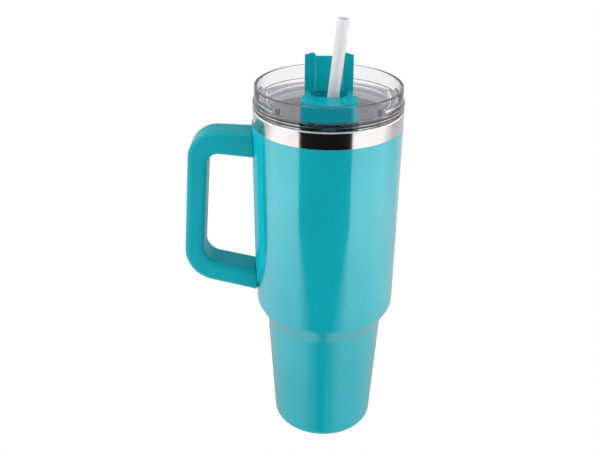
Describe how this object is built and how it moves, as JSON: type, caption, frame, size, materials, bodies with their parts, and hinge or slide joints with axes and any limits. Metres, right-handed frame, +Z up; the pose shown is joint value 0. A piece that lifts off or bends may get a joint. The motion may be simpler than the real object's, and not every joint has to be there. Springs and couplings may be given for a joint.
{
  "type": "insulated water bottle",
  "caption": "Tall double-wall steel bottle with a side handle, a narrow cup-holder foot, a clear press-in lid, a coloured flip cap and a straw.",
  "frame": {"origin": "centre of the foot ring, on the table", "axes": "+Z up along the bottle's axis, handle towards -X, drinking spout towards -Y"},
  "size_m": [0.1525, 0.1012, 0.3206],
  "materials": {
    "powder_coat": "fine shimmering powder coat",
    "bare_steel": "fine turned and polished",
    "solder": "dull cast",
    "handle_plastic": "satin moulded",
    "screw_steel": "bright plated",
    "clear_plastic": "polished clear plastic",
    "silicone": "translucent matte",
    "straw_plastic": "frosted translucent"
  },
  "bodies": {
    "cup": {"outer_shell": "powder_coat", "inner_liner": "bare_steel", "outer_base": "bare_steel", "port_seal": "solder", "getter": "solder", "bracket_upper": "bare_steel", "bracket_lower": "bare_steel", "handle_saddle": "handle_plastic", "handle_shell": "handle_plastic", "handle_cover": "handle_plastic", "handle_screws": "screw_steel", "screw_plugs": "handle_plastic"},
    "lid": {"lid_body": "clear_plastic", "lid_gasket": "silicone", "spout_block": "handle_plastic", "spout_seal": "silicone", "spout_nut": "handle_plastic", "hinge_pin": "screw_steel"},
    "cap": {"flip_cap": "handle_plastic"},
    "straw": {"straw": "straw_plastic"}
  },
  "joints": [
    {"name": "lid_lift", "type": "slide", "parent": "cup", "child": "lid", "axis": [0, 0, 1], "range_m": [0, 0.27]},
    {"name": "cap_hinge", "type": "hinge", "parent": "lid", "child": "cap", "pos_m": [0, -0.0165, 0.2649], "axis": [1, 0, 0], "range_deg": [0, 32]},
    {"name": "straw_slide", "type": "slide", "parent": "lid", "child": "straw", "axis": [0.1023, -0.0546, 0.9933], "range_m": [0, 0.29]}
  ]
}
